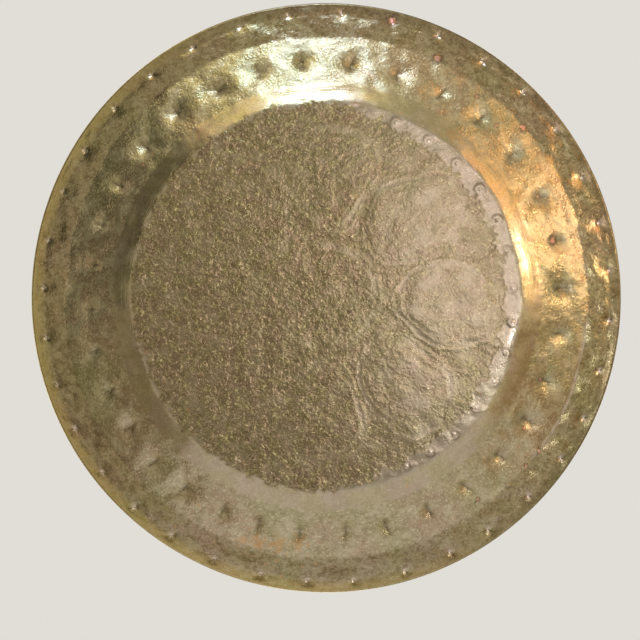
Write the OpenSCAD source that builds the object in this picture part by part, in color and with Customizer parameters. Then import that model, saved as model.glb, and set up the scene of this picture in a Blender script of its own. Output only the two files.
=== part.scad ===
// Round brass tray, raised from one sheet: flat floor, flared wall with pinched creases, and a flange
// with a row of bosses. Its edge is rolled up over a hoop of wire. The dish opens upwards, and the
// underside of the floor rests on z = 0.

/* [Tray] */
// Outside diameter over the rolled edge
tray_d = 380; // [340:2:460]
// Thickness of the brass sheet
sheet_t = 0.9; // [0.7:0.1:1.3]
// Height of the wall, from the floor to the inner line of the flange
wall_h = 20; // [16:0.5:26]

/* [Floor] */
// Radius of the bend between floor and lower wall
floor_bend_r = 5; // [2:0.5:8]
// Distance from the edge of the floor in to the circle of dots
dot_inset = 5; // [4:0.5:14]
// Number of dots punched round the floor
dot_count = 36; // [24:1:48]
// Diameter of the ball-ended punch that struck the dots
dot_punch_d = 6; // [3:0.5:7]
// Depth of the dots
dot_depth = 0.4; // [0.2:0.05:0.5]

/* [Wall] */
// Width of the smooth lower wall, measured level
lower_wall_w = 14; // [10:1:20]
// Slope of the smooth lower wall above the horizontal, in degrees
lower_wall_slope = 27; // [22:1:32]
// Width of the creased upper wall, measured level
upper_wall_w = 34; // [28:1:40]
// Number of creases pinched into the upper wall
crease_count = 33; // [24:1:40]
// Length of one crease where it leaves the wall
crease_len = 16; // [12:1:20]
// Length of the sharp fold along the middle of a crease
crease_fold_len = 8; // [4:1:10]
// Width of one crease where it leaves the wall
crease_w = 13; // [9:0.5:16]
// Depth of one crease at its fold
crease_depth = 1.2; // [0.6:0.1:1.6]

/* [Flange] */
// Width of the sloping inner part of the flange, measured level
flange_slope_w = 7; // [4:0.5:12]
// Slope of the inner part of the flange above the horizontal, in degrees
flange_slope = 4; // [0.5:0.5:8]
// Width of the level strip between the sloping part of the flange and the bosses
flange_strip_w = 4; // [2:0.5:8]
// Number of bosses round the flange
boss_count = 36; // [24:1:48]
// Radius of the ball punch that struck the bosses from below
boss_punch_r = 6; // [4:0.5:8]
// Height of the bosses
boss_h = 1.2; // [0.6:0.1:1.6]
// Gap between the bosses and the roll
boss_gap = 0.2; // [0.1:0.1:3]

/* [Edge] */
// Diameter of the wire inside the rolled edge
wire_d = 2; // [1.6:0.1:2.6]
// Clearance between the wire and the sheet that is rolled over it
wire_clearance = 0.05; // [0.02:0.01:0.15]
// Gap between the butted ends of the wire
wire_gap = 1; // [0.4:0.1:3]
// Gap between the end of the roll and the flange under it
roll_gap = 0.15; // [0.05:0.05:0.4]

/* [Hidden] */

// Smoothness of whole turns and of the punches
turn_steps = 180;
punch_steps = 64;
// Steps in the arc of the floor's bend, and in a quarter of the roll
bend_steps = 6;
roll_steps = 10;

// The section is laid out from the edge inwards, and the floor takes what is left.
// The roll first: its two radii, and how far out its middle lies
roll_in_r = wire_d / 2 + wire_clearance;
roll_out_r = roll_in_r + sheet_t;
roll_centre_x = tray_d / 2 - roll_out_r;

// The bosses beside the roll, and the foot on which each of them stands
boss_foot = sqrt(pow(boss_punch_r + sheet_t, 2) - pow(boss_punch_r - boss_h + sheet_t, 2));
boss_x = roll_centre_x - roll_out_r - boss_gap - boss_foot;

// Where the flange, the two walls and the floor begin
level_x = boss_x - boss_foot - flange_strip_w;
flange_in_x = level_x - flange_slope_w;
wall_line_x = flange_in_x - upper_wall_w;
floor_x = wall_line_x - lower_wall_w;
floor_bend_x = floor_x - floor_bend_r * tan(lower_wall_slope / 2);

// Heights of the underside, and the slope of the upper wall that follows from them
wall_line_z = lower_wall_w * tan(lower_wall_slope);
upper_wall_slope = atan((wall_h - wall_line_z) / upper_wall_w);
level_z = wall_h + flange_slope_w * tan(flange_slope);
roll_centre_z = level_z + roll_out_r;

// The roll ends short of the flange by its gap
roll_end = 180 + asin((roll_in_r - roll_gap) / roll_out_r);

// The points of an arc
function on_circle(x, z, r, a) = [x + r * cos(a), z + r * sin(a)];
function arc(x, z, r, from, to, steps) =
    [for (i = [0:steps]) on_circle(x, z, r, from + (to - from) * i / steps)];

// Where two walls of different slope meet, a line that lies t inside both of them
function corner(x, z, slope_a, slope_b, t) =
    let (half = (slope_a + slope_b) / 2, reach = t / cos((slope_b - slope_a) / 2))
    [x - reach * sin(half), z + reach * cos(half)];

// One face of the sheet from the floor's middle to the start of the roll, t above the underside
function face(t) = concat(
    [[0, t]],
    arc(floor_bend_x, floor_bend_r, floor_bend_r - t, -90, -90 + lower_wall_slope, bend_steps),
    [corner(wall_line_x, wall_line_z, lower_wall_slope, upper_wall_slope, t)],
    [corner(flange_in_x, wall_h, upper_wall_slope, flange_slope, t)],
    [corner(level_x, level_z, flange_slope, 0, t)]
);

// The roll at radius r from its middle: up to its outermost point, over its top and down to its end
function roll(r) = concat(
    arc(roll_centre_x, roll_centre_z, r, -90, 0, roll_steps),
    [for (i = [1:2 * roll_steps]) on_circle(roll_centre_x, roll_centre_z, r, roll_end * i / (2 * roll_steps))]
);

function backwards(list) = [for (i = [len(list) - 1:-1:0]) list[i]];

// The whole section of the sheet
module sheet_section() {
    polygon(concat(face(0), roll(roll_out_r), backwards(roll(roll_in_r)), backwards(face(sheet_t))));
}

// What a tool cuts starts this far below the sheet. The metal that it raises starts inside the sheet.
tool_drop = 2;

// The boss punch is a ball, which strikes from below
module boss_nose() {
    translate([0, 0, boss_h - boss_punch_r]) sphere(r = boss_punch_r, $fn = punch_steps);
}
module boss_metal() {
    room = 2 * (boss_punch_r + sheet_t);
    intersection() {
        translate([0, 0, boss_h - boss_punch_r]) sphere(r = boss_punch_r + sheet_t, $fn = punch_steps);
        translate([-room / 2, -room / 2, sheet_t / 2]) cube(room);
    }
}

// Copies of a tool round the level band of the flange
module round_the_flange() {
    for (i = [0:boss_count - 1])
        rotate([0, 0, 360 * (i + 0.5) / boss_count])
            translate([boss_x, 0, level_z])
                children();
}

// The creasing tool is a ridge with hipped ends, whose sides reach down to the height low
module crease_ridge(low) {
    reach = (crease_depth - low) / crease_depth;
    half_w = crease_w / 2 * reach;
    half_len = crease_fold_len / 2 + (crease_len - crease_fold_len) / 2 * reach;
    intersection() {
        rotate([90, 0, 90])
            linear_extrude(2 * half_len, center = true)
                polygon([[-half_w, low], [half_w, low], [0, crease_depth]]);
        rotate([90, 0, 0])
            linear_extrude(2 * half_w, center = true)
                polygon([
                    [-half_len, low], [half_len, low],
                    [crease_fold_len / 2, crease_depth], [-crease_fold_len / 2, crease_depth]
                ]);
    }
}

// Copies of a tool round the middle of the upper wall, square to its slope
crease_x = (wall_line_x + flange_in_x) / 2;
crease_z = wall_line_z + (crease_x - wall_line_x) * tan(upper_wall_slope);
module round_the_wall() {
    for (i = [0:crease_count - 1])
        rotate([0, 0, 360 * i / crease_count])
            translate([crease_x, 0, crease_z])
                rotate([0, -upper_wall_slope, 0])
                    children();
}

// The dots punched into the upper side of the floor
module floor_dots() {
    for (i = [0:dot_count - 1])
        rotate([0, 0, 360 * i / dot_count])
            translate([floor_x - dot_inset, 0, sheet_t - dot_depth + dot_punch_d / 2])
                sphere(d = dot_punch_d, $fn = punch_steps);
}

module tray_pan() {
    color("darkgoldenrod")
        difference() {
            union() {
                rotate_extrude($fn = turn_steps) sheet_section();
                round_the_flange() boss_metal();
                round_the_wall() translate([0, 0, sheet_t]) crease_ridge(-sheet_t / 2);
            }
            round_the_flange() boss_nose();
            round_the_wall() crease_ridge(-tool_drop);
            floor_dots();
        }
}

// The wire is a hoop with its two ends butted together
wire_gap_angle = 360 * wire_gap / (2 * PI * roll_centre_x);
module rim_wire() {
    color("dimgray")
        translate([0, 0, roll_centre_z])
            rotate([0, 0, wire_gap_angle / 2])
                rotate_extrude(angle = 360 - wire_gap_angle, $fn = turn_steps)
                    translate([roll_centre_x, 0])
                        circle(d = wire_d, $fn = punch_steps);
}

tray_pan();
rim_wire();
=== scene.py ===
# Round brass tray, hand-raised from one sheet and dark with age. The dish opens towards +Z, and the
# main camera looks straight up at the underside of the tray.
import math
import bpy
import numpy as np
from mathutils import Matrix, Vector


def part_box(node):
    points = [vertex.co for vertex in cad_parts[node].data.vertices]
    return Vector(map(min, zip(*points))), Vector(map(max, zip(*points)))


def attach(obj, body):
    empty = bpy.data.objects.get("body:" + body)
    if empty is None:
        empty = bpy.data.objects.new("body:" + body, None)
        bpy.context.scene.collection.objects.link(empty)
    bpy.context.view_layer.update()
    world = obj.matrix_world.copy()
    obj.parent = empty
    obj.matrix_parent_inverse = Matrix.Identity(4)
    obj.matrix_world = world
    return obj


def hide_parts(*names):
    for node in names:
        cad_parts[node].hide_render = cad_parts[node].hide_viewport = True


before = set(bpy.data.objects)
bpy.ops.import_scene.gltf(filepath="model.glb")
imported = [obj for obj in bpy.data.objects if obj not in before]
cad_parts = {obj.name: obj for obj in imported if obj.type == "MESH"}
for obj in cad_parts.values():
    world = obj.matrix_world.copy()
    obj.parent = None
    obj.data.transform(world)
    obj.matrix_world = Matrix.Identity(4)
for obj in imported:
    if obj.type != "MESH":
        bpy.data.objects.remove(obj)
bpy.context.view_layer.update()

TURN = 2 * math.pi
MM = 0.001  # one millimetre in Blender's metres


# ---------------------------------------------------------------- sizes, all in millimetres

def millimetres(corner):
    return [c / MM for c in corner]


wire_low, wire_high = map(millimetres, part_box("rim_wire"))
wire_radius = (wire_high[2] - wire_low[2]) / 2
hoop_radius = wire_high[1] - wire_radius      # middle of the tray to the middle of the wire
hoop_height = (wire_high[2] + wire_low[2]) / 2

sheet = 0.9      # thickness of the brass
roll_inside = wire_radius + 0.05      # the roll lies round the wire with hardly any room
roll_outside = roll_inside + sheet

floor_height = 0.35      # the struck rings of the floor stand down from it to the table
floor_radius = 119.0
wall_line = 133.0        # where the smooth lower wall ends and the creased upper wall begins
flange_line = 167.0      # where the creased upper wall ends and the flange begins
flange_end = 188.0
# the circles on which the three rows of marks lie
pit_circle = 182.0
crease_circle = 149.3
ring_circle = 114.6

# slopes of the underside in degrees
LOWER_WALL, LOWER_WALL_TOP, UPPER_WALL, FLANGE = 25.0, 31.0, 22.0, 8.0

PITS, CREASES, RINGS, PETALS = 36, 33, 36, 8
FIRST_RING = -2.7        # degrees


# ---------------------------------------------------------------- how the hand spaced the marks

def spaced(count, first, drift, towards, slip, seed):
    """Angles of marks laid out round the tray by eye: even steps, crowded a little, each one slipped."""
    hand = np.random.default_rng(seed)
    even = math.radians(first) + TURN * np.arange(count) / count
    crowded = even + math.radians(drift) * (np.cos(even - math.radians(towards)) - 1)
    return crowded + math.radians(slip) * hand.uniform(-1, 1, count)


def nearest(angle, marks):
    """The mark nearest to each point round the tray, and how far past it the point lies."""
    past = (angle[:, None] - marks[None, :] + math.pi) % TURN - math.pi
    which = np.abs(past).argmin(axis=1)
    return which, past[np.arange(len(angle)), which]


def uneven(x, y, size, seed):
    """Smooth unevenness of unit strength, with hollows about size millimetres apart."""
    hand = np.random.default_rng(seed)
    waves = 20
    total = np.zeros_like(x)
    for _ in range(waves):
        heading = hand.uniform(0, TURN)
        turn = TURN / (size * hand.uniform(0.7, 1.5))
        total += np.cos(turn * (x * math.cos(heading) + y * math.sin(heading)) + hand.uniform(0, TURN))
    return total / math.sqrt(waves / 2)


def soft_step(value, low, high):
    """0 below low, 1 above high, smooth between."""
    t = np.clip((value - low) / (high - low), 0, 1)
    return t * t * (3 - 2 * t)


def line(distance, width):
    """1 on a line and fading away from it on both sides."""
    return np.exp(-(distance / width) ** 2)


pit_angles = spaced(PITS, 5.0, 1.7, 20, 0.5, 11)
crease_angles = spaced(CREASES, 10.2, 4.45, 50, 0.5, 12)
ring_angles = spaced(RINGS, FIRST_RING, 6.0, 20, 0.6, 13)

# how hard each mark was struck, and how far out of line, in millimetres
hand = np.random.default_rng(14)
pit_blow = hand.uniform(0.8, 1.15, PITS)
pit_out = hand.uniform(-0.6, 0.6, PITS)
crease_blow = hand.uniform(0.7, 1.15, CREASES)
crease_out = hand.uniform(-1.2, 1.2, CREASES)
crease_half = hand.uniform(6.2, 8.4, CREASES)
crease_lean = hand.uniform(-0.12, 0.12, CREASES)
ring_blow = hand.uniform(0.4, 1.2, RINGS)
ring_out = hand.uniform(-0.8, 0.8, RINGS)
crease_bend = hand.uniform(-1.0, 1.0, CREASES)
ring_tilt = hand.uniform(-1.6, 1.6, RINGS)

# the wall was pinched more lightly on one side
light_side, light_width = 174, 14      # degrees
crease_blow *= 1 - 0.5 * line(np.degrees(crease_angles) % 360 - light_side, light_width)


# ---------------------------------------------------------------- the section of the sheet

def slope_of_underside(r):
    """Slope in degrees of the underside, from the middle of the floor out to the roll."""
    slope = LOWER_WALL * soft_step(r, floor_radius - 2.2, floor_radius + 2.6)
    slope += (LOWER_WALL_TOP - LOWER_WALL) * soft_step(r, floor_radius + 2, wall_line - 2)
    slope += (UPPER_WALL - LOWER_WALL_TOP) * soft_step(r, wall_line - 3.5, wall_line + 3.0)
    slope += (FLANGE - UPPER_WALL) * soft_step(r, flange_line - 1.7, flange_line + 1.2)
    slope -= FLANGE * soft_step(r, hoop_radius - 1.2, hoop_radius)
    return slope


station = np.linspace(0, hoop_radius, 4000)
pitch = np.tan(np.radians(slope_of_underside(station)))
climbing = station < flange_line
rise = np.concatenate([[0], np.cumsum((pitch[1:] + pitch[:-1]) / 2 * np.diff(station))])
# the wall is stretched a little, so that the flange meets the roll round the wire
wall_rise = np.interp(flange_line, station, rise)
stretch = (hoop_height - roll_outside - floor_height - (rise[-1] - wall_rise)) / wall_rise
rise = np.where(climbing, rise * stretch, rise + wall_rise * (stretch - 1)) + floor_height


def underside(r):
    return np.interp(r, station, rise)


def dish_face(r):
    lean = np.radians(slope_of_underside(r))
    inset = r + sheet * np.sin(lean)
    return np.interp(inset, station, rise) + sheet * np.cos(lean)


def wander(x, y, r):
    """How far the lines of the section stray from true circles, in millimetres."""
    return 0.55 * uneven(x, y, 62, 31) * soft_step(r, 70, 105) * (1 - soft_step(r, 174, 184))


# ---------------------------------------------------------------- hammer and punch work
# All heights and widths are in millimetres. Below is the underside of the sheet, where the marks are
# sharpest, and the other side is the dish face.

def petal_edge(x, y, angle, blurred):
    """Distance from the outline of the nearest petal, inside negative, and the place along and across it."""
    turn = TURN / PETALS
    first = math.radians(3)
    petal_circle, half_length, half_width, taper = 71.5, 34, 26.5, 0.16
    mean_radius = 29      # turns the share of the way to the outline into millimetres
    number = np.round((angle - first) / turn)
    aim = first + number * turn
    along = x * np.cos(aim) + y * np.sin(aim) - petal_circle + blurred * uneven(x, y, 52, 41)
    across = -x * np.sin(aim) + y * np.cos(aim) + blurred * uneven(x, y, 47, 42)
    full = half_width * (1 + taper * np.clip(along / half_length, -1, 1))
    reach = np.hypot(along / half_length, across / full)
    return (reach - 1) * mean_radius + 0.3 * blurred * uneven(x, y, 13, 43), along, across


def chasing(x, y, r, angle, below):
    """The chased work of the floor: its lines, the smooth ribbons between them, and the swelling petals."""
    outer_ring, inner_ring, eye = 33, 28.5, 9      # of the medallion in the middle
    stroke = 0.9      # half width of a chased line
    edge, along, across = petal_edge(x, y, angle, 1.7 if below else 0.5)
    petals = soft_step(r, 34, 38) * (1 - soft_step(r, 104, 107))
    lines = line(edge, stroke) + 0.8 * line(edge + 5.0, stroke)
    lines += 0.45 * line(edge + 10, stroke) * (along > -18)
    rib = line(across, stroke) * soft_step(along, -26, -20) * (1 - soft_step(along, 4, 12))
    veins = line(np.abs(across) - 6 - 0.22 * (along + 14) ** 2 / 8, stroke) * (np.abs(along + 2) < 10)
    medallion = line(r - outer_ring, stroke) + 0.8 * line(r - inner_ring, stroke) + line(r - eye, stroke)
    daisy = line(r - 11 - 15 * np.abs(np.cos(6 * angle)) ** 0.6, 1.0) * (r > 11.5)
    ribbon = petals * soft_step(edge, -5.4, -4.2) * (1 - soft_step(edge, -0.6, 0.6))
    ribbon = np.maximum(ribbon, soft_step(r, 28, 29.5) * (1 - soft_step(r, 32, 33.5)))
    if below:
        ribbon *= soft_step(uneven(x, y, 26, 44), -1.1, 0.7)
    swell = petals * soft_step(-edge, -2, 13)
    return (lines + 0.6 * rib + 0.4 * veins) * petals + medallion + daisy, ribbon, swell


def flange_pits(r, angle, below):
    """The row of pits in the flange: their depth, and where the ball punch burnished them, painted lighter as
    a painted highlight.
    """
    cone_radius, cone_depth, nose_depth = 9.6, 0.88, 0.8
    which, past = nearest(angle, pit_angles)
    along, across = r - pit_circle - pit_out[which], r * past
    away = np.hypot(along, across)
    cone = cone_depth * np.clip(1 - away / cone_radius, 0, 1) ** 1.7
    nose = nose_depth * line(away, 1.5 if below else 1.9)
    # the sheet draws into faint folds from each pit towards its neighbours
    drawn = 0.2 * line(along + 0.4, 2.0) * line(np.abs(across) - 10, 5)
    return (cone + nose) * pit_blow[which] + drawn, line(away, 1.5)


def wall_creases(r, angle, below):
    """The pinched creases of the upper wall and the pillows between them, and the painted shade in the
    creases.
    """
    fold_half_width, fold_height = 6.0, 1.15
    pillow_radius, pillow_height = 13.5, 2.6
    which, past = nearest(angle, crease_angles)
    wall_lean = math.radians(21.6)     # the upper wall after the stretch
    up = (r - crease_circle - crease_out[which]) / math.cos(wall_lean)
    across = r * past - crease_lean[which] * up - crease_bend[which] * up * up / 40
    lens = np.clip(1 - (up / crease_half[which]) ** 2, 0, 1)
    fold = np.clip(1 - np.abs(across) / (fold_half_width * np.sqrt(lens) + 0.01), 0, 1)
    pinch = fold_height * lens ** 1.3 * fold ** (1.35 if below else 1.9)
    pillow = pillow_height * np.clip(1 - np.hypot(across, 0.9 * (up + 1)) / pillow_radius, 0, 1) ** 1.7
    return (pinch + pillow) * crease_blow[which], 1.4 * fold ** 5 * lens


def ring_marks(r, angle):
    """Marks of a ring punch with a ball in its middle: their height, the balls, and the painted shade round
    them.
    """
    ring_radius, ring_depth, ball_depth = 2.7, 0.28, 0.62
    which, past = nearest(angle, ring_angles)
    across, along = r * past, r - ring_circle - ring_out[which]
    away, bearing = np.hypot(along, across), np.arctan2(across, along)
    struck = (0.5 + 0.5 * np.cos(bearing - ring_tilt[which])) * ring_blow[which]
    ball = line(away, 1.1) * ring_blow[which]
    height = ring_depth * line(away - ring_radius, 1.0) * struck + ball_depth * ball
    return height, ball, 1.2 * line(away - ring_radius - 0.5, 0.8) * struck


def dents(x, y, r, angle):
    """The unevenness that the hammer left, least on the lower wall, which was planished."""
    planished_circle = 126
    planished = line(r - planished_circle, 5.5)
    dented = 0.12 * uneven(x, y, 34, 3) + 0.09 * uneven(x, y, 13, 4) + 0.035 * uneven(x, y, 6, 5)
    dented *= (1 - 0.75 * planished) * (0.75 + 0.25 * soft_step(r, 90, floor_radius))
    dented += 0.14 * uneven(x, y, 27, 9) * soft_step(r, flange_line - 2, flange_line + 6)
    upper_wall = soft_step(r, wall_line, wall_line + 5) * (1 - soft_step(r, flange_line - 5, flange_line))
    dented += 0.07 * uneven(x, y, 12, 10) * upper_wall
    dented *= soft_step(flange_end - r, 0, 8)
    # a knock has lifted the border a little in one place
    return dented + 0.36 * line(np.degrees(angle) - 14, 5.5) * soft_step(r, 114.2, 118.6)


# Stretches of the rims and of the lower wall painted bright, a painted highlight, and made smoother: middle
# and half length in degrees, radius and half width in millimetres.
PAINTED_RIM_HIGHLIGHTS = [(12, 9, 116.6, 1.9), (310, 22, 119.0, 0.8), (20, 22, 167.2, 0.8), (347, 10, 124.5, 2.6)]


# how strongly each point lies in a painted highlight on the rims
def painted_rim_highlights(x, y, r, angle):
    bright = np.zeros_like(r)
    for middle, half, radius, width in PAINTED_RIM_HIGHLIGHTS:
        past = (np.degrees(angle) - middle + 180) % 360 - 180
        here = line(r + wander(x, y, r) - radius, width) * (1 - soft_step(np.abs(past), 0.3 * half, half))
        bright = np.maximum(bright, here)
    return bright * np.clip(0.85 + 0.4 * uneven(x, y, 9, 23), 0, 1)


def marks(x, y, r, angle, below):
    """How far all the work of hammer and punch moves the sheet up, and what it does to the surface, with the
    painted light and shade that follow the marks.
    """
    pits, pit_bright = flange_pits(r, angle, below)
    creases, crease_shade = wall_creases(r, angle, below)
    rings, ball, ring_shade = ring_marks(r, angle)
    lines, ribbon, swell = chasing(x, y, r, angle, below)

    # The underside was knocked about more on one side, where the scalloped border is nearly beaten over
    # and the chasing is faint.
    wide = soft_step(x, -10, 70) if below else np.full_like(x, 0.8)
    kept = 0.3 + 0.7 * soft_step(x, -45, 25)

    beaten_over, border_width = 120.0, 8.4      # the hem where no border is left, and the full border
    lobes = np.abs(np.sin((angle - math.radians(FIRST_RING)) * RINGS / 2)) ** 0.8
    scallop = beaten_over - border_width * wide - (0.4 + 1.8 * wide) * lobes
    if below:
        scallop += 1.1 * uneven(x, y, 16, 8) + 0.9 * uneven(x, y, 4.5, 16)
    hem = line(r - scallop, 0.8) * wide
    # a painted shade along the inner side of the hem
    hem_shade = 0.5 * line(r - scallop + 1.2, 0.7)

    # the ground that the matting punch has pecked
    ground = 1 - soft_step(r, scallop - 1.4, scallop + 1.0)
    if below:
        ground *= 1 - 0.5 * ribbon * kept
        ground *= 1 - 0.6 * wide * (0.6 + 0.4 * swell) - 0.2 * soft_step(uneven(x, y, 17, 45), -0.2, 1.4)
    else:   # on the dish face only the ground between the petals is matted
        ground *= (1 - soft_step(swell, 0.02, 0.2)) * (1 - ribbon)
    matted = ground * (0.045 * uneven(x, y, 6.4, 6) + 0.035 * uneven(x, y, 3.6, 7))

    moved = pits + creases - rings + dents(x, y, r, angle) + matted - 0.5 * swell * kept
    # painted shade round the rings and along the hem
    dirt_and_shade = wide * (ring_shade + hem_shade)
    # the chased lines, the rings and the hem are painted lighter: a painted highlight
    highlit_lines = 0.4 * hem + rings
    if below:
        moved -= 0.2 * lines * kept + 0.12 * hem
        # painted shade in the creases
        dirt_and_shade += crease_shade
        highlit_lines += lines * kept
        # the burnished pit noses and ring balls and the rim stretches are also painted lighter: painted
        # highlights
        burnish_and_highlight = np.maximum(np.maximum(pit_bright, 0.8 * ball * wide), painted_rim_highlights(x, y, r, angle))
    else:
        moved -= 0.38 * lines + 0.3 * hem
        # the chased grooves of the dish face are darker: dirt and painted shade
        dirt_and_shade += lines + 0.8 * rings + 0.6 * hem
        burnish_and_highlight = pit_bright
    surface = {"ground": ground, "dirt_and_shade": dirt_and_shade, "lines": highlit_lines, "burnish_and_highlight": burnish_and_highlight}
    return moved, {name: np.clip(values, 0, 1) for name, values in surface.items()}


# Spots where the zinc has gone and left copper: angle in degrees, radius and size in millimetres, and
# strength. The strong ones have a dark edge, the weak ones are stains.
COPPER_SPOTS = [
    (283.5, 182.8, 2.9, 1), (294.9, 168.4, 2.6, 1), (319.2, 165.9, 2.2, 1), (306.8, 159.4, 1.2, 1),
    (314.6, 152.5, 1.2, 1), (20.9, 144.5, 1.3, 1), (33.6, 149.8, 1.2, 1), (35.8, 167.3, 1.3, 1),
    (40.1, 166.7, 1.1, 1), (53.1, 160.3, 1.2, 1), (215.9, 141.8, 1.1, 1), (345.9, 147.3, 2.4, 1),
    (96.5, 157.0, 6.5, 0.5), (101.0, 159.5, 7.5, 0.55), (105.5, 161.5, 7.5, 0.55), (109.0, 163.5, 5.0, 0.5),
    (308.0, 128.0, 9.0, 0.3), (232.0, 128.0, 7.0, 0.25),
]


def copper(x, y):
    """How coppery each point is, and the dark edge round each strong spot."""
    spot, halo = np.zeros_like(x), np.zeros_like(x)
    ragged = 1 + 0.18 * uneven(x, y, 2.4, 21)
    for degrees, radius, size, strength in COPPER_SPOTS:
        turn = math.radians(degrees)
        away = np.hypot(x - radius * math.cos(turn), y - radius * math.sin(turn)) * ragged
        if strength < 1:
            away *= 1 + 0.3 * uneven(x, y, 5, 22)
        inner = 0.55 if strength == 1 else 0.1
        spot = np.maximum(spot, strength * (1 - soft_step(away, size * inner, size * 0.9)))
        if strength == 1:
            edge = soft_step(away, size * 0.5, size * 0.9) * (1 - soft_step(away, size * 0.9, size * 1.7))
            halo = np.maximum(halo, edge)
    return spot, halo


# ---------------------------------------------------------------- the mesh of the pan

class Sheet:
    """A closed skin made of rings, each joined to the one before it."""

    def __init__(self):
        self.points, self.faces, self.upper = [], [], []
        self.total, self.last = 0, None

    def ring(self, r, z, columns, upper):
        start = self.total
        angle = TURN * np.arange(columns) / columns
        self.points.append(np.stack([r * np.cos(angle), r * np.sin(angle), np.broadcast_to(z, columns)], 1))
        self.upper.append(np.full(columns, float(upper)))
        self.total += columns
        if self.last is not None:
            self.join(self.last, (start, columns))
        self.last = (start, columns)

    def join(self, one, two):
        """Faces between two rings, each given by its first point and its number of columns."""
        (a, n), (b, m) = one, two
        i = np.arange(min(n, m))
        if n == m:
            j = (i + 1) % n
            self.faces.append(np.stack([a + i, a + j, b + j, b + i], 1))
        elif m > n:
            k = m // n
            for s in range(k):
                self.faces.append(np.stack([a + i, b + (i * k + s + 1) % m, b + i * k + s], 1))
            self.faces.append(np.stack([a + i, a + (i + 1) % n, b + (i * k + k) % m], 1))
        else:
            k = n // m
            for s in range(k):
                self.faces.append(np.stack([a + i * k + s, a + (i * k + s + 1) % n, b + i], 1))
            self.faces.append(np.stack([a + (i * k + k) % n, b + (i + 1) % m, b + i], 1))

    def close(self, ring, z, upper):
        """Closes a ring with one point in the middle of the tray."""
        start, columns = ring
        i = np.arange(columns)
        edge = [start + i, start + (i + 1) % columns]
        if not upper:
            edge.reverse()
        self.faces.append(np.stack(edge + [np.full(columns, self.total)], 1))
        self.points.append(np.array([[0.0, 0.0, z]]))
        self.upper.append(np.array([float(upper)]))
        self.total += 1


def rings_between(start, stop, gap, columns):
    """Radius and number of columns of rings about gap millimetres apart, the first one left out."""
    count = max(1, round(abs(stop - start) / gap))
    return [(r, columns) for r in np.linspace(start, stop, count + 1)[1:]]


# the rings lie closest where the work is finest
FIRST_RADIUS, FIRST_COLUMNS = 1.5, 90
underside_rings = (
    [(FIRST_RADIUS, FIRST_COLUMNS)] + rings_between(FIRST_RADIUS, 8, 1.6, FIRST_COLUMNS)
    + rings_between(8, 22, 1.2, 180) + rings_between(22, 103, 1.0, 540)
    + rings_between(103, floor_radius + 3, 0.65, 1080)
    + rings_between(floor_radius + 3, wall_line - 2, 1.6, 1080)
    + rings_between(wall_line - 2, flange_line + 3, 1.0, 1080)
    + rings_between(flange_line + 3, hoop_radius, 0.75, 1080))
dish_rings = (
    [(FIRST_RADIUS, FIRST_COLUMNS)] + rings_between(FIRST_RADIUS, 8, 1.6, FIRST_COLUMNS)
    + rings_between(8, 30, 1.3, 180) + rings_between(30, floor_radius + 3, 1.15, 540)
    + rings_between(floor_radius + 3, hoop_radius, 1.3, 540))

pan_skin = Sheet()
for r, columns in underside_rings:
    pan_skin.ring(r, underside(r), columns, upper=False)
# the roll: round the outside of the wire, over it, in to its end, and back round the inside
roll_start, roll_end, roll_columns = -TURN / 4, math.radians(180 + 27), 540
outside = [(turn, roll_outside, turn > 0) for turn in np.linspace(roll_start, roll_end, 26)[1:]]
inside = [(turn, roll_inside, True) for turn in np.linspace(roll_end, roll_start, 18)]
for turn, roll_radius, upper in outside + inside:
    out, up = roll_radius * math.cos(turn), roll_radius * math.sin(turn)
    pan_skin.ring(hoop_radius + out, hoop_height + up, roll_columns, upper)
for r, columns in reversed(dish_rings[:-1]):
    pan_skin.ring(r, dish_face(r), columns, upper=True)
pan_skin.close(pan_skin.last, dish_face(0.0), upper=True)
pan_skin.close((0, FIRST_COLUMNS), underside(0.0), upper=False)

points = np.concatenate(pan_skin.points)
upper = np.concatenate(pan_skin.upper)
x, y = points[:, 0], points[:, 1]
r, angle = np.hypot(x, y), np.arctan2(y, x)
on_sheet = r <= hoop_radius + 1e-6
lies_below = (upper < 0.5) & on_sheet & (points[:, 2] < hoop_height)
lies_above = (upper > 0.5) & on_sheet & (points[:, 2] <= dish_face(r) + 1e-6)
moved = np.zeros(len(points))
worked = {name: np.zeros(len(points)) for name in ("ground", "dirt_and_shade", "lines", "burnish_and_highlight")}
for side, below in ((lies_below, True), (lies_above, False)):
    where = x[side], y[side], r[side]
    section = underside if below else dish_face
    up, surface = marks(*where, angle[side], below)
    up += section(r[side] + wander(*where)) - section(r[side])
    moved[side] = up * (1 - soft_step(r[side], hoop_radius - 3.5, hoop_radius - 0.5))
    for name, values in surface.items():
        worked[name][side] = values
points[:, 2] += moved
worked["spot"], worked["halo"] = copper(x, y)
worked["dish"] = upper

pan_mesh = bpy.data.meshes.new("tray_pan_raised")
corner_counts = np.concatenate([np.full(len(f), f.shape[1]) for f in pan_skin.faces])
corners = np.concatenate([f.ravel() for f in pan_skin.faces])
first_corners = np.concatenate([[0], np.cumsum(corner_counts)[:-1]])
pan_mesh.vertices.add(len(points))
pan_mesh.vertices.foreach_set("co", (points * MM).astype(np.float32).ravel())
pan_mesh.loops.add(len(corners))
pan_mesh.loops.foreach_set("vertex_index", corners.astype(np.int32))
pan_mesh.polygons.add(len(corner_counts))
pan_mesh.polygons.foreach_set("loop_start", first_corners.astype(np.int32))
pan_mesh.polygons.foreach_set("use_smooth", np.ones(len(corner_counts), bool))
pan_mesh.update(calc_edges=True)
pan_mesh.validate()
for name, values in worked.items():
    pan_mesh.attributes.new(name, "FLOAT", "POINT").data.foreach_set("value", values.astype(np.float32))
pan = bpy.data.objects.new("tray_pan_raised", pan_mesh)
bpy.context.collection.objects.link(pan)


# ---------------------------------------------------------------- finishes

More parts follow.
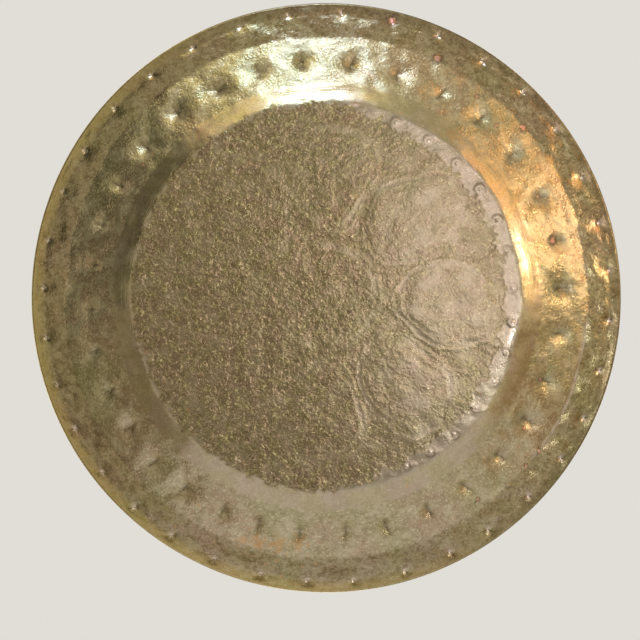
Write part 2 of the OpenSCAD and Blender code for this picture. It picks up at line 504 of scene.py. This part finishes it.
def linear(colour):
    """An sRGB hex colour as the linear values that a shader takes."""
    parts = [int(colour[i:i + 2], 16) / 255 for i in (1, 3, 5)]
    return tuple(c / 12.92 if c <= 0.04045 else ((c + 0.055) / 1.055) ** 2.4 for c in parts) + (1.0,)


def add(tree, kind, inputs=(), out=0, **settings):
    """Adds a node with its settings, joins its inputs, given in order or by name, and returns one output."""
    node = tree.nodes.new("ShaderNode" + kind)
    for name, value in settings.items():
        setattr(node, name, value)
    for socket, value in (inputs if isinstance(inputs, dict) else dict(enumerate(inputs))).items():
        if isinstance(value, bpy.types.NodeSocket):
            tree.links.new(value, node.inputs[socket])
        else:
            node.inputs[socket].default_value = value
    return node.outputs[out] if node.outputs else None


# settings that many nodes share
SOFT = {"interpolation_type": "SMOOTHSTEP"}
TIMES, PLUS, LESS, MOST = ({"operation": name} for name in ("MULTIPLY", "ADD", "SUBTRACT", "MAXIMUM"))
TIMES_PLUS = {"operation": "MULTIPLY_ADD"}
BLEND = {"data_type": "RGBA", "out": 2}


def per(size):
    """The noise scale that gives grains of this size in millimetres."""
    return 1 / (size * MM)


def new_finish(name):
    finish = bpy.data.materials.new(name)
    finish.use_nodes = True
    finish.node_tree.nodes.clear()
    return finish, finish.node_tree


# How brass ages, from the broad clouds of tarnish to the grain of the metal: the size of each pattern in
# millimetres, its detail and its roughness. The real grain is finer than a tenth of a millimetre, and is
# drawn as coarse as it needs to be to show.
AGEING = {
    "clouds": (60, 3.0, 0.55), "umber": (38, 2.0, 0.55), "sheen": (16, 4.0, 0.55), "patches": (10, 5.0, 0.62),
    "hue": (7, 3.0, 0.55), "mottle": (3.6, 4.0, 0.65), "grain": (1.5, 2.0, 0.6),
}


def aged_brass():
    """Sheet brass, raised by hammer and left to darken: olive-brown with age, painted lighter where it is
    rubbed and where highlights are painted on.
    It is a bare metal, so all its colour is in what it mirrors: smooth where it was planished or rubbed,
    and broken up where the matting punch has pecked it."""
    finish, tree = new_finish("aged_brass")
    place = add(tree, "TexCoord", out="Object")
    mask = {name: add(tree, "Attribute", out="Fac", attribute_name=name) for name in worked}
    age = {}
    for name, (size, detail, coarse) in AGEING.items():
        age[name] = add(tree, "TexNoise", {
            "Vector": place, "Scale": per(size), "Detail": detail, "Roughness": coarse})

    # zones of the tray by distance from its middle
    flat = add(tree, "VectorMath", (place, (1, 1, 0)), **TIMES)
    radius = add(tree, "VectorMath", (flat,), out="Value", operation="LENGTH")
    off_floor = add(tree, "MapRange", (radius, (floor_radius - 1) * MM, (floor_radius + 2.5) * MM), **SOFT)
    off_lower_wall = add(tree, "MapRange", (radius, (wall_line - 1.5) * MM, (wall_line + 1.5) * MM), **SOFT)
    on_flange = add(tree, "MapRange", (radius, (flange_line - 2.5) * MM, (flange_line + 1.5) * MM), **SOFT)
    near_edge = add(tree, "MapRange", (radius, (hoop_radius - 9) * MM, (hoop_radius - 1.2) * MM), **SOFT)
    on_lower_wall = add(tree, "Math", (off_floor, off_lower_wall), **LESS)
    on_floor = add(tree, "Math", (1.0, off_floor), **LESS)
    on_border = add(tree, "Math", (on_floor, mask["ground"]), **LESS)
    on_border = add(tree, "Math", (on_border, 0.0), **MOST)
    smooth = add(tree, "Math", (on_border, 0.6, on_lower_wall), **TIMES_PLUS)
    smooth = add(tree, "Math", (smooth, mask["burnish_and_highlight"]), **MOST)

    # short wandering strokes and dots of the matting punch, one to three millimetres long
    warp = add(tree, "TexNoise", {"Vector": place, "Scale": per(4), "Detail": 1.0}, out="Color")
    bent = add(tree, "VectorMath", {0: warp, "Scale": 4 * MM}, operation="SCALE")
    bent = add(tree, "VectorMath", (place, bent), **PLUS)
    strokes = add(tree, "TexNoise", {"Vector": bent, "Scale": per(2.1), "Detail": 2.0, "Roughness": 0.55})
    dots = add(tree, "TexVoronoi", {"Vector": bent, "Scale": per(2.8)}, out="Distance")
    dots = add(tree, "MapRange", (dots, 0.62, 0.08), **SOFT)
    beads = add(tree, "Math", (dots, 0.2), **TIMES)
    beads = add(tree, "Math", (strokes, 0.8, beads), **TIMES_PLUS)
    crest = add(tree, "Math", (strokes, 0.5), **LESS)
    crest = add(tree, "Math", (crest,), operation="ABSOLUTE")
    crest = add(tree, "MapRange", (crest, 0.06, 0.0, 0.0, 0.7), **SOFT)
    dot_tops = add(tree, "Math", (dots, 3.0), operation="POWER")
    crest = add(tree, "Math", (crest, dot_tops), **MOST)
    struck = add(tree, "MapRange", (age["mottle"], 0.36, 0.60), **SOFT)
    crest = add(tree, "Math", (crest, struck), **TIMES)

    # Rubbing marks that run round the tray. Real ones are as fine as the grit of the polish, so these are
    # drawn as coarse as they need to be to show.
    turn = add(tree, "VectorMath", (flat,), operation="NORMALIZE")
    turn = add(tree, "VectorMath", {0: turn, "Scale": 12 * MM}, operation="SCALE")
    outward = add(tree, "CombineXYZ", {"Z": radius})
    round_it = add(tree, "VectorMath", (turn, outward), **PLUS)
    streaks = add(tree, "TexNoise", {"Vector": round_it, "Scale": per(0.9), "Detail": 3.0, "Roughness": 0.55})

    # two shades of each tarnish and of each painted light and shade, and what makes it lean from one to the
    # other
    # the side towards which the edge is painted lighter
    towards_lighter_edge = add(tree, "VectorMath", (place, (-0.87, 0.5, 0)), out="Value", operation="DOT_PRODUCT")
    shade = {}
    for name, leaning, low, high, one, two in (
            ("olive", age["clouds"], 0.40, 0.60, "#9b9065", "#a38c69"),
            ("umber", age["umber"], 0.42, 0.58, "#75683b", "#745b3f"),
            ("wiped", age["sheen"], 0.40, 0.60, "#aa9a70", "#b19c80"),
            ("edge_light_and_shade", towards_lighter_edge, -0.08, 0.12, "#4f422c", "#ceb466"),
            ("trough", age["hue"], 0.40, 0.60, "#665938", "#6c5840"),
            ("crest", age["hue"], 0.40, 0.60, "#cdbc81", "#d2b78c"),
            ("copper", mask["spot"], 0.55, 0.85, "#bf8a4c", "#c99484")):
        lean = add(tree, "MapRange", (leaning, low, high), **SOFT)
        shade[name] = add(tree, "Mix", {0: lean, 6: linear(one), 7: linear(two)}, **BLEND)
    # the matted ground: dark between its marks, and lighter along its strokes and on the tops of its beads, a
    # painted highlight
    matting_light_and_shade = add(tree, "Mix", {0: crest, 6: shade["trough"], 7: shade["crest"]}, **BLEND)

    # coats of tarnish and wear and of painted light and shade, one over the other: where each lies, how dense
    # it is, and its colour
    patchy = add(tree, "MapRange", (age["patches"], 0.42, 0.66), **SOFT)
    mottled = add(tree, "MapRange", (age["mottle"], 0.46, 0.62), **SOFT)
    mottle_dark = add(tree, "MapRange", (on_flange, 0.0, 1.0, 0.32, 0.7))
    grainy = add(tree, "MapRange", (age["grain"], 0.52, 0.66), **SOFT)
    dirt_and_shade_dark = add(tree, "MapRange", (mask["dish"], 0.0, 1.0, 0.62, 0.7))
    tarnish = shade["olive"]
    for where, density, colour in (
            (patchy, 1.0, linear("#b0a27b")), (mottled, mottle_dark, linear("#706040")),
            (grainy, 0.5, linear("#cfbf94")), (on_flange, 0.42, shade["umber"]),
            (smooth, 0.55, shade["wiped"]), (on_border, 0.5, linear("#a09281")),
            # painted light and shade: the edge is painted lighter on one side and darker across from there
            (near_edge, 0.35, shade["edge_light_and_shade"]),
            # the dish face has been wiped and used, so it is cleaner
            (mask["dish"], 0.35, linear("#b89e66")),
            # the painted highlight on the matting, and a painted highlight on the chased lines, rings and hem
            (mask["ground"], 0.76, matting_light_and_shade), (mask["lines"], 0.15, linear("#cdbd93")),
            # dirt and painted shade in the hollows, and painted highlights on the burnished marks and rims
            (mask["dirt_and_shade"], dirt_and_shade_dark, linear("#54452f")), (mask["burnish_and_highlight"], 0.6, linear("#d8c4b0")),
            (mask["halo"], 0.75, linear("#43352a")), (mask["spot"], 0.9, shade["copper"])):
        cover = add(tree, "Math", (where, density), **TIMES)
        tarnish = add(tree, "Mix", {0: cover, 6: tarnish, 7: colour}, **BLEND)

    pebbled = add(tree, "Math", (smooth, -0.85, 1.0), **TIMES_PLUS)
    pebbled = add(tree, "Math", (on_flange, -0.55, pebbled), **TIMES_PLUS)
    normal = add(tree, "Bump", {"Strength": mask["ground"], "Distance": 0.55 * MM, "Height": beads})
    for where, height, relief in ((pebbled, 0.3 * MM, age["grain"]), (smooth, 0.1 * MM, streaks)):
        normal = add(tree, "Bump", {
            "Strength": where, "Distance": height, "Height": relief, "Normal": normal})

    rough = add(tree, "MapRange", (age["patches"], 0.3, 0.7, 0.23, 0.33))
    for where, rougher in (
            (on_flange, -0.05), (on_lower_wall, -0.015), (mask["burnish_and_highlight"], -0.1), (mask["dish"], -0.04),
            (mask["halo"], 0.2)):
        rough = add(tree, "Math", (where, rougher, rough), **TIMES_PLUS)
    metal = add(tree, "BsdfPrincipled", {
        "Base Color": tarnish, "Metallic": 1.0, "Roughness": rough, "Normal": normal})
    add(tree, "OutputMaterial", (metal,))
    return finish


def drawn_wire():
    """Iron wire as it left the draw plate: dull grey metal with a trace of rust."""
    finish, tree = new_finish("drawn_wire")
    place = add(tree, "TexCoord", out="Object")
    rust = add(tree, "TexNoise", {"Vector": place, "Scale": per(3), "Detail": 4.0})
    rusty = add(tree, "MapRange", (rust, 0.5, 0.7), **SOFT)
    colour = add(tree, "Mix", {0: rusty, 6: linear("#82807b"), 7: linear("#6b4f3c")}, **BLEND)
    drawn = add(tree, "Bump", {"Strength": 0.3, "Distance": 0.1 * MM, "Height": rust})
    metal = add(tree, "BsdfPrincipled", {
        "Base Color": colour, "Metallic": 1.0, "Roughness": 0.42, "Normal": drawn})
    add(tree, "OutputMaterial", (metal,))
    return finish


pan.data.materials.append(aged_brass())
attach(pan, "root")
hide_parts("tray_pan")

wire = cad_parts["rim_wire"]
wire.data.materials.clear()
wire.data.materials.append(drawn_wire())


# ---------------------------------------------------------------- the room, in metres

def aimed(azimuth, off_axis, distance, below=True):
    """A place facing the tray, seen from it at this azimuth and this far off the line straight down, or up.
    Its width runs round the tray and its height runs away from the line."""
    a, o = math.radians(azimuth), math.radians(off_axis)
    height = -math.cos(o) if below else math.cos(o)
    away = Vector((math.sin(o) * math.cos(a), math.sin(o) * math.sin(a), height))
    side = Vector((-math.sin(a), math.cos(a), 0))
    turned = Matrix((side, away.cross(side), away)).transposed().to_4x4()
    return Matrix.Translation(away * distance) @ turned


def put(name, data, place):
    body = bpy.data.objects.new(name, data)
    body.matrix_world = place
    bpy.context.collection.objects.link(body)
    return body


def board(name, place, width, height):
    """A flat board in the middle of its place."""
    w, h = width / 2, height / 2
    mesh = bpy.data.meshes.new(name)
    mesh.from_pydata([(-w, -h, 0), (w, -h, 0), (w, h, 0), (-w, h, 0)], [], [(0, 1, 2, 3)])
    return put(name, mesh, place)


def floor(colour):
    """A wide pale floor. Only the camera sees it, and only from above, so that it hides neither the
    underside of the tray nor what the underside mirrors."""
    width, just_under = 80.0, Matrix.Translation((0, 0, -0.2 * MM))
    body = board("floor", just_under, width, width)
    finish, tree = new_finish("floor")
    seen = add(tree, "LightPath", out="Is Camera Ray")
    from_below = add(tree, "NewGeometry", out="Backfacing")
    from_above = add(tree, "Math", (1.0, from_below), **LESS)
    shown = add(tree, "Math", (seen, from_above), **TIMES)
    clear = add(tree, "BsdfTransparent")
    matt = add(tree, "BsdfDiffuse", (linear(colour),))
    glow = add(tree, "Emission", (linear(colour), 0.95))
    pale = add(tree, "MixShader", (0.65, matt, glow))
    add(tree, "OutputMaterial", (add(tree, "MixShader", (shown, clear, pale)),))
    body.data.materials.append(finish)


def lamp(name, place, size, brightness, colour):
    """A soft oval lamp. A brightness of 1 is that of white paper."""
    data = bpy.data.lights.new(name, "AREA")
    data.shape, (data.size, data.size_y) = "ELLIPSE", size
    area = math.pi * size[0] * size[1] / 4
    data.energy, data.color = brightness * math.pi * area, linear(colour)[:3]
    put(name, data, place).visible_camera = False


def card(name, place, size, colour, brightness=1.0):
    """A large matt card that the metal mirrors and the camera doesn't see."""
    body = board(name, place, *size)
    finish, tree = new_finish(name)
    add(tree, "OutputMaterial", (add(tree, "Emission", (linear(colour), brightness)),))
    body.data.materials.append(finish)
    body.visible_camera = body.visible_shadow = body.visible_diffuse = False


floor("#f4f2ee")

# Under the tray: a window and a warm lamp at the side, with the glow of the walls round them, long low
# lamps for the floor and its rim, a pale bench, and the dark of the room. Each is placed by its azimuth
# and its slant in degrees and its distance, and then has its width and height.
lamp("window", aimed(267, 64.5, 1.6), (0.48, 0.34), 19.0, "#94bcff")
lamp("window_glow", aimed(262, 67, 1.7), (1.5, 0.6), 2.0, "#e4d690")
lamp("side_lamp", aimed(345, 60, 1.4), (0.2, 0.16), 18.0, "#fff4ea")
lamp("warm_glow", aimed(336, 64, 1.6), (1.4, 0.44), 2.4, "#ffbe72")
lamp("low_lamp", aimed(13, 30, 1.5), (0.18, 0.16), 15.0, "#e6eeff")
lamp("rim_lamp", aimed(310, 33, 1.5), (1.0, 0.1), 1.6, "#f4f4ff")
lamp("rim_line", aimed(22, 54, 1.5), (0.9, 0.08), 2.8, "#f4f4ff")
lamp("strip", aimed(350, 14, 1.5), (1.2, 0.62), 1.3, "#eae4ff")
lamp("strip_edge", aimed(331, 23, 1.5), (0.62, 0.2), 1.3, "#f4ecff")
card("bench", aimed(88, 58, 1.2), (2.0, 0.9), "#ecedff", 1.12)
card("dark_figure", aimed(150, 18, 1.3), (0.9, 0.36), "#a29e96")
card("dark_bench", aimed(80, 20, 1.25), (0.62, 0.34), "#8a857a")
card("warm_corner", aimed(20, 65, 1.2), (0.5, 0.5), "#b79a7c")
card("dark_room", aimed(153, 65, 1.2), (0.84, 0.66), "#a09a8c")
card("dark_corner", aimed(204, 62, 1.2), (1.2, 0.4), "#66675d")
card("dark_ledge", aimed(204, 76, 1.2), (1.2, 0.2), "#84857a")

# round the dish face stand lamps with gaps between them, which the bare metal mirrors as stripes
for azimuth in range(20, 380, 72):
    lamp("high_%d" % azimuth, aimed(azimuth, 60, 1.7, below=False), (0.7, 0.5), 2.6, "#fffaf2")
    lamp("top_%d" % azimuth, aimed(azimuth + 36, 30, 1.7, below=False), (0.5, 0.4), 2.0, "#f4f7ff")

world = bpy.data.worlds.new("studio")
bpy.context.scene.world = world
world.use_nodes = True
sky = world.node_tree
sky.nodes.clear()
seen = add(sky, "LightPath", out="Is Camera Ray")
for ray in ("Is Glossy Ray", "Is Transmission Ray"):
    seen = add(sky, "Math", (seen, add(sky, "LightPath", out=ray)), **MOST)
room = add(sky, "Background", (linear("#ffffff"), 0.55))
pale = add(sky, "Background", (linear("#e6e3dc"), 0.95))
add(sky, "OutputWorld", (add(sky, "MixShader", (seen, room, pale)),))

camera_data = bpy.data.cameras.new("camera")
camera_data.lens, camera_data.sensor_width = 38.98, 36.0      # millimetres
camera_data.clip_start, camera_data.clip_end = 0.01, 50.0
camera = bpy.data.objects.new("camera", camera_data)
camera.location = (-0.004, 0.0143, -0.4248)
camera.rotation_euler = (math.pi, 0, 0)
bpy.context.collection.objects.link(camera)
bpy.context.scene.camera = camera
bpy.context.scene.view_settings.view_transform = "Standard"
